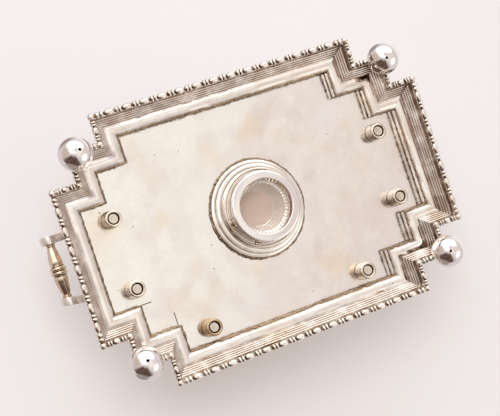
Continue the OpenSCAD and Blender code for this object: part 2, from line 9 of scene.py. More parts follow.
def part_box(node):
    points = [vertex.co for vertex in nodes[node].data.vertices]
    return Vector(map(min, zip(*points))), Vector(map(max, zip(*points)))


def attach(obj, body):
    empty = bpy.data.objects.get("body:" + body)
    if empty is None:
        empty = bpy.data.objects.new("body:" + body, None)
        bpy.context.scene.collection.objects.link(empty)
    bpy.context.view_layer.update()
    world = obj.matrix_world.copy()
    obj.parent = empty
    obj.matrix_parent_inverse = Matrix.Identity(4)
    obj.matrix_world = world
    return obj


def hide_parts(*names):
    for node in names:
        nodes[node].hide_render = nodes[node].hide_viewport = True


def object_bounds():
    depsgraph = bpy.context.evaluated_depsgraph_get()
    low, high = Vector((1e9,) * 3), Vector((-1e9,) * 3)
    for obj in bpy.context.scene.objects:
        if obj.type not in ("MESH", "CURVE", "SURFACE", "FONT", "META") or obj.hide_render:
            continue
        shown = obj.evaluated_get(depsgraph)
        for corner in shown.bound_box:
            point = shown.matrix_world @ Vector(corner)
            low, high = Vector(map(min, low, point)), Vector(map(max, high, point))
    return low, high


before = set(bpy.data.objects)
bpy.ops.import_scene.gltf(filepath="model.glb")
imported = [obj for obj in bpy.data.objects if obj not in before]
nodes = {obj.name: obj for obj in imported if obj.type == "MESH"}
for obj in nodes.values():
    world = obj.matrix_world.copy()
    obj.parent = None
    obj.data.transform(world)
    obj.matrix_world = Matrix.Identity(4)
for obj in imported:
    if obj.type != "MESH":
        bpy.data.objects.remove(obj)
cad_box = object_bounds()
MM = 0.001

# ------------------------------------------------------------------ camera
# It looks at the tray's underside. LEFT_TO_RIGHT and UP are the picture's own directions.
LEFT_TO_RIGHT = Vector((-0.8858, -0.3198, -0.3364))
UP = Vector((-0.3024, 0.9475, -0.1044))
TO_CAMERA = Vector((0.3522, 0.0093, -0.9359))
CAMERA_AT = Vector((0.2401, 0.0076, -0.6038))


def make_camera():
    data = bpy.data.cameras.new("camera")
    data.lens = 100.8
    data.sensor_width = 36
    data.clip_start = 0.01
    cam = bpy.data.objects.new("camera", data)
    turn = Matrix((LEFT_TO_RIGHT, UP, TO_CAMERA)).transposed()
    cam.matrix_world = Matrix.Translation(CAMERA_AT) @ turn.to_4x4()
    bpy.context.scene.collection.objects.link(cam)
    bpy.context.scene.camera = cam


make_camera()
bpy.context.scene.view_settings.view_transform = "Standard"


def picture_way(right, up, near):
    """The direction in the frame of a direction given in the picture's own axes."""
    return (LEFT_TO_RIGHT * right + UP * up + TO_CAMERA * near).normalized()


# ------------------------------------------------------------------ node helpers
class Shader:
    """A node tree with short calls for the nodes that the materials use."""

    def __init__(self, owner):
        owner.use_nodes = True
        self.tree = owner.node_tree
        self.tree.nodes.clear()

    def add(self, kind, **settings):
        made = self.tree.nodes.new(kind)
        for key, value in settings.items():
            setattr(made, key, value)
        return made

    def put(self, socket, value):
        if isinstance(value, bpy.types.NodeSocket):
            self.tree.links.new(value, socket)
        else:
            socket.default_value = value

    def math(self, how, a, b=0.0, clamp=False):
        made = self.add("ShaderNodeMath", operation=how, use_clamp=clamp)
        self.put(made.inputs[0], a)
        self.put(made.inputs[1], b)
        return made.outputs[0]

    def vector(self, how, a, b=(0, 0, 0), out="Vector"):
        made = self.add("ShaderNodeVectorMath", operation=how)
        self.put(made.inputs[0], a)
        self.put(made.inputs[1], b)
        return made.outputs[out]

    def ramp(self, value, low, high, to_low=0.0, to_high=1.0):
        made = self.add("ShaderNodeMapRange", interpolation_type="SMOOTHSTEP")
        for socket, item in zip(made.inputs, (value, low, high, to_low, to_high)):
            self.put(socket, item)
        return made.outputs[0]

    def mix(self, share, a, b):
        made = self.add("ShaderNodeMix", data_type="RGBA")
        self.put(made.inputs[0], share)
        self.put(made.inputs[6], a)
        self.put(made.inputs[7], b)
        return made.outputs[2]

    def noise(self, where, scale, detail=3.0, rough=0.5, out=0):
        made = self.add("ShaderNodeTexNoise")
        self.put(made.inputs["Vector"], where)
        made.inputs["Scale"].default_value = scale
        made.inputs["Detail"].default_value = detail
        made.inputs["Roughness"].default_value = rough
        return made.outputs[out]

    def cells(self, where, scale):
        made = self.add("ShaderNodeTexVoronoi", feature="F1")
        self.put(made.inputs["Vector"], where)
        made.inputs["Scale"].default_value = scale
        return made.outputs["Distance"]

    def bump(self, height, strength, distance, normal=None):
        made = self.add("ShaderNodeBump")
        made.inputs["Strength"].default_value = strength
        made.inputs["Distance"].default_value = distance
        self.put(made.inputs["Height"], height)
        if normal is not None:
            self.put(made.inputs["Normal"], normal)
        return made.outputs[0]

    def segment(self, where, a, b):
        """The distance of a point from the line between a and b."""
        a, b = Vector(a), Vector(b)
        along = b - a
        from_a = self.vector("SUBTRACT", where, a)
        share = self.math(
            "DIVIDE", self.vector("DOT_PRODUCT", from_a, along, "Value"), along.length_squared, clamp=True
        )
        scaled = self.add("ShaderNodeVectorMath", operation="SCALE")
        scaled.inputs[0].default_value = along
        self.put(scaled.inputs["Scale"], share)
        return self.vector("DISTANCE", from_a, scaled.outputs[0], "Value")


def rgb(r, g, b):
    """A linear colour from display values."""
    return tuple(c / 12.92 if c <= 0.04045 else ((c + 0.055) / 1.055) ** 2.4 for c in (r, g, b)) + (1.0,)


# ------------------------------------------------------------------ materials
# Tones of worn plate, and of the shade and reflections painted on it
YELLOWED = rgb(0.97, 0.91, 0.80)
PINKISH = rgb(0.92, 0.85, 0.81)
TARNISHED = rgb(0.68, 0.59, 0.49)
PITTED = rgb(0.36, 0.29, 0.24)
SOIL_AND_PAINTED_LIGHT_TONE = rgb(0.52, 0.39, 0.27)
SHADE_AND_GRIME_BROWN = rgb(0.30, 0.21, 0.15)
CUT = rgb(0.33, 0.26, 0.20)


def silver(name, colour, rough, tarnish=0.0, grime_and_shade=0.0, patches=0.0, scratches=0.3, waves=0.02, marks=()):
    """Worn silver plate.

    tarnish, the darkening of recesses and patches are shares, marks are lines cut into the face, and a mesh
    may say in its own attribute where it is soiled and where shade and reflections are painted on it. The
    recesses are found by ambient occlusion, so their darkening is painted shade as well as grime.
    """
    made = bpy.data.materials.new(name)
    s = Shader(made)
    where = s.add("ShaderNodeTexCoord").outputs["Object"]
    cloud = s.noise(where, 45, 4)
    fine = s.noise(where, 420, 3)
    stretched = s.vector("MULTIPLY", where, (1.0, 9.0, 1.0))
    crossed = s.vector("MULTIPLY", where, (8.0, 1.0, 1.0))
    lengthwise = s.ramp(s.noise(stretched, 260, 2), 0.66, 0.72)
    crosswise = s.ramp(s.noise(crossed, 300, 2), 0.68, 0.74)
    lines = s.math("MAXIMUM", lengthwise, crosswise)
    shade = s.mix(s.ramp(cloud, 0.52, 0.72, 0.0, patches), colour, YELLOWED)
    pink = s.noise(s.vector("ADD", where, (0.3, 0.1, 0.7)), 30, 3)
    shade = s.mix(s.ramp(pink, 0.5, 0.72, 0.0, patches), shade, PINKISH)
    browned = s.ramp(s.noise(where, 110, 5, 0.6), 0.42, 0.7, 0.0, tarnish)
    shade = s.mix(browned, shade, TARNISHED)
    pits = s.ramp(s.cells(where, 230), 0.05, 0.085, 1.0, 0.0)
    pits = s.math("MULTIPLY", pits, s.ramp(s.noise(where, 60, 2), 0.5, 0.56))
    pits = s.math("MULTIPLY", pits, min(1.0, patches * 3))
    shade = s.mix(pits, shade, PITTED)
    # each mesh's own darkening: dirt, painted shade in grooves and recesses, and painted reflection streaks
    # on the rim's band
    soil_and_painted_light = s.add("ShaderNodeAttribute", attribute_name="soil_and_painted_light").outputs["Fac"]
    uneven = s.math("MULTIPLY", soil_and_painted_light, s.ramp(s.noise(where, 180, 3), 0.3, 0.6, 0.35, 1.0))
    shade = s.mix(uneven, shade, SOIL_AND_PAINTED_LIGHT_TONE)
    # darker where ambient occlusion finds the surface shut in: painted shade in recesses, with grime there
    # as well
    if grime_and_shade:
        shut = s.add("ShaderNodeAmbientOcclusion", samples=6, only_local=False)
        shut.inputs["Distance"].default_value = 1.3 * MM
        grime_and_shade_share = s.ramp(shut.outputs["AO"], 0.15, 0.78, grime_and_shade, 0.0)
        shade = s.mix(grime_and_shade_share, shade, SHADE_AND_GRIME_BROWN)
    worn = s.ramp(fine, 0.3, 0.75, rough * 0.7, rough * 1.5)
    dull = s.math("ADD", worn, s.math("MULTIPLY", lines, 0.06))
    height = s.math("ADD", s.math("MULTIPLY", fine, 0.12), s.math("MULTIPLY", lines, -scratches))
    height = s.math("ADD", height, s.math("MULTIPLY", pits, -2.0))
    for a, b in marks:
        cut = s.ramp(s.segment(where, a, b), 0.12 * MM, 0.32 * MM, 1.0, 0.0)
        shade = s.mix(cut, shade, CUT)
        height = s.math("ADD", height, s.math("MULTIPLY", cut, -4.0))
    wavy = s.bump(s.noise(where, 38, 1), waves, 1.0)
    normal = s.bump(height, 0.12, 0.02 * MM, wavy)
    shader = s.add("ShaderNodeBsdfPrincipled")
    shader.inputs["Metallic"].default_value = 1.0
    s.put(shader.inputs["Base Color"], shade)
    s.put(shader.inputs["Roughness"], dull)
    s.put(shader.inputs["Normal"], normal)
    s.tree.links.new(shader.outputs[0], s.add("ShaderNodeOutputMaterial").inputs[0])
    return made


def cut_glass(name, light, dark, rough, clear):
    """Worn glass. clear is the share of light that passes through it."""
    made = bpy.data.materials.new(name)
    s = Shader(made)
    where = s.add("ShaderNodeTexCoord").outputs["Object"]
    shader = s.add("ShaderNodeBsdfPrincipled")
    shader.inputs["Transmission Weight"].default_value = clear
    shader.inputs["IOR"].default_value = 1.5
    s.put(shader.inputs["Base Color"], s.mix(s.noise(where, 60, 3), light, dark))
    s.put(shader.inputs["Roughness"], s.ramp(s.noise(where, 300, 4), 0.5, 0.75, rough, rough + 0.08))
    s.put(shader.inputs["Normal"], s.bump(s.noise(where, 160, 3), 0.08, 0.1 * MM))
    s.tree.links.new(shader.outputs[0], s.add("ShaderNodeOutputMaterial").inputs[0])
    return made


# Places on the tray, from the frame and a few sizes of the part
corner_lo, corner_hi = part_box("back_right_corner_border")
foot_lo, foot_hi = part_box("back_right_foot")
plate_lo, plate_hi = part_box("base_plate")
BEAD_R = 1.6 * MM
CORNER_BEAD_R = BEAD_R * 1.06
bead_z = (corner_lo.z + corner_hi.z) / 2
foot_x = (foot_lo.x + foot_hi.x) / 2
foot_y = (foot_lo.y + foot_hi.y) / 2
FOOT_TO_STEP_X, FOOT_TO_STEP_Y = 1.5 * MM, 1.2 * MM
line_x = (corner_lo.x + CORNER_BEAD_R, foot_x + FOOT_TO_STEP_X, corner_hi.x - CORNER_BEAD_R)
line_y = (corner_lo.y + CORNER_BEAD_R, foot_y + FOOT_TO_STEP_Y, corner_hi.y - CORNER_BEAD_R)
RIM_IN = 11.0 * MM
LIP_DROP = 4.9 * MM
plate_z = plate_lo.z
lip_z = plate_z - LIP_DROP


def quarter(g):
    """The stepped corner's five points, set in by g from the line of the beads."""
    x1, x2, x0 = (v - g for v in line_x)
    y2, y1, y0 = (v - g for v in line_y)
    return [(x0, y2), (x2, y2), (x2, y1), (x1, y1), (x1, y0)]


lip = quarter(RIM_IN)
OVERRUN = 6.5 * MM


def saw_marks():
    """Cuts that run past the concave corners of the two steps at the front right of the tray."""
    first = ((lip[1][0], -lip[1][1], plate_z), (lip[1][0] - OVERRUN, -lip[1][1], plate_z))
    second = ((lip[3][0], -lip[3][1], plate_z), (lip[3][0], OVERRUN - lip[3][1], plate_z))
    return [first, second]


PALE = rgb(0.985, 0.975, 0.96)
# Each one's name and colour, then roughness, tarnish, grime with painted shade in recesses, patches,
# scratches and waves
plate_silver = silver("plate_silver", PALE, 0.16, 0.06, 0.85, 0.5, 0.3, 0.015, saw_marks())
rim_silver = silver("rim_silver", rgb(0.99, 0.97, 0.945), 0.08, 0.24, 0.9, 0.4, 0.4, 0.03)
collar_silver = silver("collar_silver", rgb(0.98, 0.96, 0.93), 0.12, 0.22, 0.55, 0.3, 0.4, 0.03)
bright_silver = silver("bright_silver", rgb(0.97, 0.95, 0.94), 0.035, 0.03, 0.5, 0.08, 0.05, 0.002)
bead_silver = silver("bead_silver", rgb(0.97, 0.94, 0.90), 0.11, 0.25, 1.0, 0.2, 0.2, 0.01)
handle_silver = silver("handle_silver", rgb(0.90, 0.82, 0.73), 0.2, 0.4, 0.6, 0.4, 0.3, 0.02)
arm_silver = silver("arm_silver", rgb(0.98, 0.96, 0.94), 0.2, 0.06, 0.35, 0.2, 0.3, 0.02)
cup_silver = silver("cup_silver", rgb(0.99, 0.96, 0.92), 0.36, 0.12, 0.2, 0.2, 0.3, 0.02)
lid_silver = silver("lid_silver", rgb(0.96, 0.93, 0.89), 0.08, 0.14, 0.9, 0.15, 0.15, 0.008)
nut_silver = silver("nut_silver", rgb(0.93, 0.89, 0.83), 0.26, 0.25, 0.85, 0.3, 0.4, 0.02)
nut_brown = silver("nut_brown", rgb(0.80, 0.70, 0.57), 0.28, 0.5, 0.95, 0.3, 0.4, 0.02)
stud_silver = silver("stud_silver", rgb(0.90, 0.86, 0.80), 0.22, 0.35, 1.0, 0.2, 0.4, 0.02)
solder_grey = silver("solder_grey", rgb(0.58, 0.50, 0.41), 0.34, 0.7, 0.85, 0.2, 0.2, 0.05)
lug_silver = silver("lug_silver", rgb(0.88, 0.80, 0.72), 0.2, 0.3, 0.8, 0.2, 0.3, 0.05)
glass = cut_glass("cut_glass", rgb(0.97, 0.96, 0.94), rgb(0.93, 0.93, 0.90), 0.01, 1.0)
foot_glass = cut_glass("foot_glass", rgb(0.90, 0.86, 0.82), rgb(0.84, 0.79, 0.74), 0.22, 0.3)
ground_glass = cut_glass("ground_glass", rgb(0.79, 0.71, 0.66), rgb(0.70, 0.61, 0.55), 0.4, 0.1)


def paint(obj, material):
    obj.data.materials.clear()
    obj.data.materials.append(material)


def node_material(name):
    """The look of a CAD node that stays in view. What is replaced below takes its look there."""
    if name == "base_plate":
        return plate_silver
    if name == "well_cup":
        return cup_silver
    if name.endswith("_foot"):
        return bright_silver
    if name.endswith("_rod"):
        return handle_silver
    if name == "hinge_pin":
        return stud_silver
    return lid_silver


for node_name, node in nodes.items():
    paint(node, node_material(node_name))


# ------------------------------------------------------------------ mesh helpers
POLE_R = 1e-7


def mesh_piece(name, verts, faces, material, body, sharp=40, soil_and_painted_light=None):
    """A piece of the object that rides on a body. The last argument gives each point's share of darkening:
    dirt, painted shade and painted reflection.
    """
    data = bpy.data.meshes.new(name)
    data.from_pydata([tuple(v) for v in verts], [], faces)
    if soil_and_painted_light:
        data.attributes.new("soil_and_painted_light", "FLOAT", "POINT").data.foreach_set("value", soil_and_painted_light)
    data.validate()
    data.shade_smooth()
    data.set_sharp_from_angle(angle=math.radians(sharp))
    made = bpy.data.objects.new(name, data)
    bpy.context.scene.collection.objects.link(made)
    paint(made, material)
    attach(made, body)
    return made


def lathe(profile, around, place=lambda p: p, shape=None):
    """Turns (radius, height) points about Z. Points of radius 0 are poles.

    place puts each point in the frame, and shape(r, h, turn) may move it before that.
    """
    verts, faces, rings = [], [], []
    for r, h in profile:
        if r < POLE_R:
            rings.append([len(verts)] * around)
            verts.append(place(Vector((0, 0, h))))
            continue
        rings.append(list(range(len(verts), len(verts) + around)))
        for i in range(around):
            turn = 2 * math.pi * i / around
            rr, hh = shape(r, h, turn) if shape else (r, h)
            verts.append(place(Vector((rr * math.cos(turn), rr * math.sin(turn), hh))))
    for a, b in zip(rings, rings[1:]):
        for i in range(around):
            j = (i + 1) % around
            corners = []
            for v in (a[i], a[j], b[j], b[i]):
                if v not in corners:
                    corners.append(v)
            if len(corners) > 2:
                faces.append(tuple(corners))
    return verts, faces


def joined(parts):
    """One mesh's points and faces from several."""
    verts, faces = [], []
    for v, f in parts:
        start = len(verts)
        verts += v
        faces += [tuple(i + start for i in face) for face in f]
    return verts, faces


# ------------------------------------------------------------------ bead-and-reel border
BEAD_PITCH = 9.0 * MM
BEAD_SHARE = 0.56
WAIST_R = BEAD_R * 0.6
NECK_R = WAIST_R * 0.6
draw = random.Random(7)


def bead_profile(length):
    """Radius and place along one run: an oval bead at each pitch and two rounded reels between beads."""
    count = max(1, round(length / BEAD_PITCH + 0.2))
    pitch = length / count
    half = pitch * BEAD_SHARE / 2
    points = [(0.0, CORNER_BEAD_R * 0.7), (WAIST_R, CORNER_BEAD_R * 0.7)]

    def reel(centre, width):
        for k in range(7):
            t = math.pi * k / 6
            swell = (BEAD_R - WAIST_R) * math.sin(t) ** 0.6
            points.append((WAIST_R + swell, centre - width * math.cos(t)))

    for i in range(count):
        start = CORNER_BEAD_R * 0.95 if i == 0 else i * pitch + half
        end = length - CORNER_BEAD_R * 0.95 if i == count - 1 else (i + 1) * pitch - half
        gap = end - start
        reel(start + gap * 0.29, gap * 0.15)
        reel(start + gap * 0.71, gap * 0.15)
        if i < count - 1:
            worn = draw.uniform(0.95, 1.0)
            for k in range(11):
                t = math.pi * k / 10
                swell = (BEAD_R * worn - NECK_R) * math.sin(t)
                points.append((NECK_R + swell, (i + 1) * pitch - half * math.cos(t)))
    points += [(WAIST_R, length - CORNER_BEAD_R * 0.7), (0.0, length - CORNER_BEAD_R * 0.7)]
    return points


def run(a, b):
    """One straight run of beads and reels, darkened where it narrows between the beads."""
    a, b = Vector((*a, bead_z)), Vector((*b, bead_z))
    turn = (b - a).to_track_quat("Z", "X").to_matrix()
    profile, around = bead_profile((b - a).length), 20
    verts, faces = lathe(profile, around, lambda p: a + turn @ p)
    soil_and_painted_light = []
    # darker where the run's radius falls below the bead's
    for r, _ in profile:
        share = max(0.0, min(1.0, (0.9 * BEAD_R - r) / (0.25 * BEAD_R)))
        soil_and_painted_light += [share] * (1 if r < POLE_R else around)
    return verts, faces, soil_and_painted_light


def ball(centre, radius, rings=12, around=20):
    """A round ball, with a pole at its top and bottom."""
    turns = [math.pi * k / rings for k in range(1, rings)]
    between = [(radius * math.sin(t), -radius * math.cos(t)) for t in turns]
    profile = [(0.0, -radius), *between, (0.0, radius)]
    return lathe(profile, around, lambda p: Vector(centre) + p)


CORNER_SOIL = 0.1


def border(name, parts):
    """The beads that stand for a border node. Parts without their own darkening are corner beads."""
    verts, faces = joined([part[:2] for part in parts])
    soil_and_painted_light = []
    for part in parts:
        soil_and_painted_light += part[2] if len(part) > 2 else [CORNER_SOIL] * len(part[0])
    made = mesh_piece(name + "_beads", verts, faces, bead_silver, "tray", 40, soil_and_painted_light)
    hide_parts(name)


beads = quarter(0.0)
SIDES = {"left": -1, "right": 1}
ENDS = {"front": -1, "back": 1}
for end_name, sy in ENDS.items():
    x, y = beads[4]
    border(end_name + "_border", [run((-x, sy * y), (x, sy * y))])
    for side_name, sx in SIDES.items():
        line = [(sx * x, sy * y) for x, y in beads]
        parts = [run(a, b) for a, b in zip(line, line[1:])]
        parts += [ball((*p, bead_z), CORNER_BEAD_R) for p in line]
        border(f"{end_name}_{side_name}_corner_border", parts)
for side_name, sx in SIDES.items():
    x, y = beads[0]
    border(side_name + "_border", [run((sx * x, -y), (sx * x, y))])


# ------------------------------------------------------------------ moulded rim
BAND_W = 5.4 * MM
BAND_FALL = 0.3 * MM
EDGE_D = 9.8 * MM
SHELF_W = 3.0 * MM
REEDS = 4
REEDS_TOP, REEDS_FOOT = lip_z - 0.5 * MM, lip_z - 3.7 * MM
HEAD_Z = lip_z - 1.6 * MM


def arc(cx, cy, r, start, stop, steps):
    """Points along an arc about (cx, cy), from start to stop in degrees."""
    turns = [math.radians(start + (stop - start) * k / steps) for k in range(steps + 1)]
    return [(cx + r * math.cos(t), cy + r * math.sin(t)) for t in turns]


def lip_and_band():
    """The lip, from the plate down, and the smooth hollow band outside it."""
    turn_in = 0.35 * MM
    points = [
        (0.0, plate_z, 0.8),
        (0.0, plate_z - 0.7 * MM, 0.05),
        (0.0, lip_z + 1.1 * MM, 0.0),
        (0.0, lip_z + 0.35 * MM, 0.35),
        (0.1 * MM, lip_z + 0.1 * MM, 0.8),
        (turn_in, lip_z, 0.85),
    ]
    # painted reflection: brown streaks across the polished band, near the lip and near its outer edge
    painted_reflection_streaks = {1: 0.55, 2: 0.2, 4: 0.2, 10: 0.35, 11: 0.55}
    for k in range(1, 13):
        t = k / 12
        dip = 0.6 * MM * math.sin(math.pi * t) ** 1.2
        out = turn_in + (BAND_W - turn_in) * t
        points.append((out, lip_z - BAND_FALL * t - dip, painted_reflection_streaks.get(k, 0.0)))
    return points


def reeds():
    """The row of rounded reeds that falls away from the band, darkened a little along the reeds and most in
    the grooves between them, as painted shade.
    """
    start = (BAND_W + 0.25 * MM, REEDS_TOP - 0.1 * MM)
    stop = (EDGE_D - 0.55 * MM, REEDS_FOOT)
    points = [(BAND_W + 0.05 * MM, REEDS_TOP + 0.1 * MM, 0.9), (*start, 0.9)]
    run_x, run_z = (stop[0] - start[0]) / REEDS, (stop[1] - start[1]) / REEDS
    for i in range(REEDS):
        for k in range(1, 7):
            t = k / 6
            swell = 0.26 * MM * math.sin(math.pi * t) ** 0.7
            out, up = start[0] + run_x * (i + t), start[1] + run_z * (i + t)
            # painted shade: darkest in each groove, lighter over the reeds
            soil_and_painted_light = 1.0 if k == 6 else 0.65 if k in (1, 5) else 0.35
            points.append((out - swell * 0.65, up - swell * 0.75, soil_and_painted_light))
    return points


def skirt_and_ogee():
    """The skirt behind the beads, darkened as painted shade in the recess there, then the top side up to the
    plate.
    """
    skirt_x, skirt_z = EDGE_D - 0.35 * MM, bead_z - 0.3 * MM
    points = [
        (skirt_x, REEDS_FOOT - 0.3 * MM, 0.8),
        (skirt_x, skirt_z, 0.9),
        (EDGE_D, skirt_z, 0.8),
        (EDGE_D, HEAD_Z - 0.5 * MM, 0.6),
        (EDGE_D - 0.1 * MM, HEAD_Z - 0.3 * MM, 0.2),
    ]
    top_z = plate_hi.z
    rise = top_z - 0.35 * MM - HEAD_Z
    for k in range(19):
        t = 1 - k / 18
        out = SHELF_W + 0.8 * MM + t * (EDGE_D - SHELF_W - 1.1 * MM)
        points.append((out, HEAD_Z + rise * (1 + math.cos(math.pi * t)) / 2, 0.0))
    points += [(x, z, 0.1) for x, z in arc(SHELF_W + 0.55 * MM, top_z - 0.25 * MM, 0.25 * MM, -10, 180, 6)]
    return points + [(SHELF_W + 0.1 * MM, top_z - 0.02 * MM, 0.5), (SHELF_W, plate_z, 0.5)]


def rim_profile():
    """The rim's section, as points of (distance out from the lip, height, darkening by dirt, painted shade
    and painted reflection).
    """
    return lip_and_band() + reeds() + skirt_and_ogee()


def rim(name, line_at):
    """Sweeps the rim's section along a stepped line, with mitred corners.

    line_at(g) gives the line set in by g.
    """
    profile = rim_profile()
    steps = [max(2, round(math.dist(a, b) / (4 * MM))) for a, b in zip(line_at(0), line_at(0)[1:])]
    verts, faces, soil_and_painted_light_rows = [], [], []
    for d, z, soil_and_painted_light in profile:
        line = line_at(RIM_IN - d)
        for (a, b), count in zip(zip(line, line[1:]), steps):
            for i in range(count):
                verts.append((a[0] + (b[0] - a[0]) * i / count, a[1] + (b[1] - a[1]) * i / count, z))
        verts.append((*line[-1], z))
        soil_and_painted_light_rows += [soil_and_painted_light] * (sum(steps) + 1)
    across, total = sum(steps) + 1, len(profile)
    for j in range(total):
        k = (j + 1) % total
        for i in range(across - 1):
            faces.append((j * across + i, j * across + i + 1, k * across + i + 1, k * across + i))
    made = mesh_piece(name + "_shell", verts, faces, rim_silver, "tray", 28, soil_and_painted_light_rows)
    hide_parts(name)


def along_end(sy):
    """The line of a long side, at the front or the back, for a given set-in."""
    def line(g):
        x, y = quarter(g)[4]
        return [(-x, sy * y), (x, sy * y)]

    return line


def along_side(sx):
    """The line of the left or right end, for a given set-in."""
    def line(g):
        x, y = quarter(g)[0]
        return [(sx * x, -y), (sx * x, y)]

    return line


def round_corner(sx, sy):
    """The stepped line of one corner, for a given set-in."""
    return lambda g: [(sx * x, sy * y) for x, y in quarter(g)]


for end_name, sy in ENDS.items():
    rim(end_name + "_moulding", along_end(sy))
    for side_name, sx in SIDES.items():
        rim(f"{end_name}_{side_name}_corner_moulding", round_corner(sx, sy))
for side_name, sx in SIDES.items():
    rim(side_name + "_moulding", along_side(sx))


# ------------------------------------------------------------------ solder
def solder_line(name, points, radius, seed):
    """A thin uneven bead of solder along a closed line of points."""
    step, around = 0.5 * MM, 8
    path = []
    for a, b in zip(points, points[1:] + points[:1]):
        a, b = Vector(a), Vector(b)
        count = max(1, round((b - a).length / step))
        path += [a.lerp(b, i / count) for i in range(count)]
    verts, faces = [], []
    total = len(path)
    for i, p in enumerate(path):
        along = (path[(i + 1) % total] - path[i - 1]).normalized()
        out = along.cross(Vector((0, 0, 1))).normalized()
        for k in range(around):
            t = 2 * math.pi * k / around
            lump = noise.noise((p + Vector((seed, k * 0.0002, 0))) * 900)
            lump += 0.7 * noise.noise((p + Vector((seed, 0, 0))) * 350)
            r = radius * min(1.9, max(0.4, 1 + 0.9 * lump))
            verts.append(p + out * r * math.cos(t) + Vector((0, 0, 1)) * r * math.sin(t))
    for i in range(total):
        for k in range(around):
            a, b = i * around, ((i + 1) % total) * around
            j = (k + 1) % around
            faces.append((a + k, a + j, b + j, b + k))
    made = mesh_piece(name, verts, faces, solder_grey, "tray")


def outline(g):
    """The tray's whole stepped outline, set in by g."""
    q = quarter(g)
    mirrored = [(-x, y) for x, y in reversed(q)]
    lower = [(-x, -y) for x, y in q]
    return q + mirrored + lower + [(x, -y) for x, y in reversed(q)]


RIM_SOLDER_R = 0.32 * MM
LIP_SOLDER_R = 0.42 * MM
COLLAR_SOLDER_R = 0.6 * MM
for line_name, z, r, seed in (
    ("rim_solder", plate_z - 0.1 * MM, RIM_SOLDER_R, 0.3),
    ("lip_solder", lip_z + 0.2 * MM, LIP_SOLDER_R, 1.7),
):
    points = [(x, y, z) for x, y in outline(RIM_IN + 0.1 * MM)]
    solder_line(line_name, points, r, seed)
collar_lo, collar_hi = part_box("well_collar")
collar_r = collar_hi.x
ring_r = collar_r + 0.1 * MM
turns = [t * math.pi / 60 for t in range(120)]
ring = [(ring_r * math.cos(t), ring_r * math.sin(t), plate_z - 0.1 * MM) for t in turns]
solder_line("collar_solder", ring, COLLAR_SOLDER_R, 0.9)


def lug(turn, size, seed):
    """A blob of solder over the groove between cup and collar."""
    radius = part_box("well_rim")[1].x + 0.6 * MM
    centre = Vector((radius * math.cos(turn), radius * math.sin(turn), collar_lo.z + 0.5 * MM))
    verts, faces = ball((0, 0, 0), 1.0, 14, 20)
    placed = []
    for v in verts:
        lump = 1 + 0.3 * noise.noise(v * 1.6 + Vector((seed, 0, 0)))
        p = Vector((v.x * size[0], v.y * size[1], v.z * size[2])) * lump
        placed.append(centre + Matrix.Rotation(turn, 3, "Z") @ p)
    return placed, faces


blobs = mesh_piece(
    "lug_blobs",
    *joined([
        lug(math.radians(351), (1.2 * MM, 1.9 * MM, 1.0 * MM), 2.0),
        lug(math.radians(344), (0.8 * MM, 0.8 * MM, 0.9 * MM), 6.0),
        lug(math.radians(296), (1.1 * MM, 1.7 * MM, 0.9 * MM), 4.0),
    ]),
    lug_silver,
    "tray",
)
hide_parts("collar_lugs")


# ------------------------------------------------------------------ nuts and studs
def islands(node_name):
    """The middle, radius, lowest and highest point of a node's studs or nuts, one in each quarter."""
    groups = {}
    for v in nodes[node_name].data.vertices:
        groups.setdefault((v.co.x > 0, v.co.y > 0), []).append(v.co)
    found = []
    for key in sorted(groups):
        points = groups[key]
        xs, ys, zs = ([p[i] for p in points] for i in range(3))
        middle = ((min(xs) + max(xs)) / 2, (min(ys) + max(ys)) / 2)
        found.append((middle, (max(xs) - min(xs)) / 2, min(zs), max(zs)))
    return found


def nut_profile(r, low, high, hole):
    """Rounded face, four worn rings, and a countersunk hole."""
    rings, face = 4, 1.2 * MM
    points = [(hole, high), (hole, low + 1.3 * MM), (hole + 0.35 * MM, low + 0.35 * MM)]
    points += arc(hole + 0.75 * MM, low + 0.4 * MM, 0.4 * MM, 180, 270, 4)
    points += arc(r - 1.0 * MM, low + 1.0 * MM, 1.0 * MM, 270, 350, 6)
    width = (high - low - face) / rings
    for i in range(rings):
        base = low + face + i * width
        points += [(r - 0.5 * MM, base + 0.02 * width)]
        for k in range(7):
            swell = 0.5 * MM * math.sin(math.pi * k / 6) ** 0.5
            points.append((r - 0.5 * MM + swell, base + width * (0.1 + 0.8 * k / 6)))
    return points + [(r - 0.5 * MM, high), (hole, high)]


def stud_profile(r, low, high):
    """A worn threaded end, then a plain shank."""
    pitch = 0.7 * MM
    points = [(0.0, low + 0.15 * MM), (r * 0.35, low + 0.1 * MM), (r * 0.72, low)]
    points += arc(r - 0.45 * MM, low + 0.4 * MM, 0.4 * MM, 275, 350, 4)
    z = low + 0.6 * MM
    while z < low + 3 * MM:
        points += [(r, z), (r - 0.3 * MM, z + pitch / 2)]
        z += pitch
    return points + [(r - 0.1 * MM, high), (0.0, high)]


def moved_to(middle):
    """Moves a turned point to the axis at middle."""
    return lambda p: p + Vector((*middle, 0))


STUD_PLAY = 0.12 * MM
for kind in ("handle", "pen_rest"):
    studs = islands(kind + "_studs")
    stud_parts = [lathe(stud_profile(r, low, high), 32, moved_to(middle)) for middle, r, low, high in studs]
    hole = studs[0][1] + STUD_PLAY
    nut_parts = {False: [], True: []}
    for middle, r, low, high in islands(kind + "_nuts"):
        is_brown = kind == "pen_rest" and middle[0] > 0
        nut_parts[is_brown].append(lathe(nut_profile(r, low, high, hole), 48, moved_to(middle)))
    pale = mesh_piece(kind + "_nut_shells", *joined(nut_parts[False]), nut_silver, "tray")
    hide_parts(kind + "_nuts")
    if nut_parts[True]:
        dark = mesh_piece(kind + "_nut_shell_brown", *joined(nut_parts[True]), nut_brown, "tray")
        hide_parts(kind + "_nuts")
    ends = mesh_piece(kind + "_stud_ends", *joined(stud_parts), stud_silver, "tray")
    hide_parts(kind + "_studs")


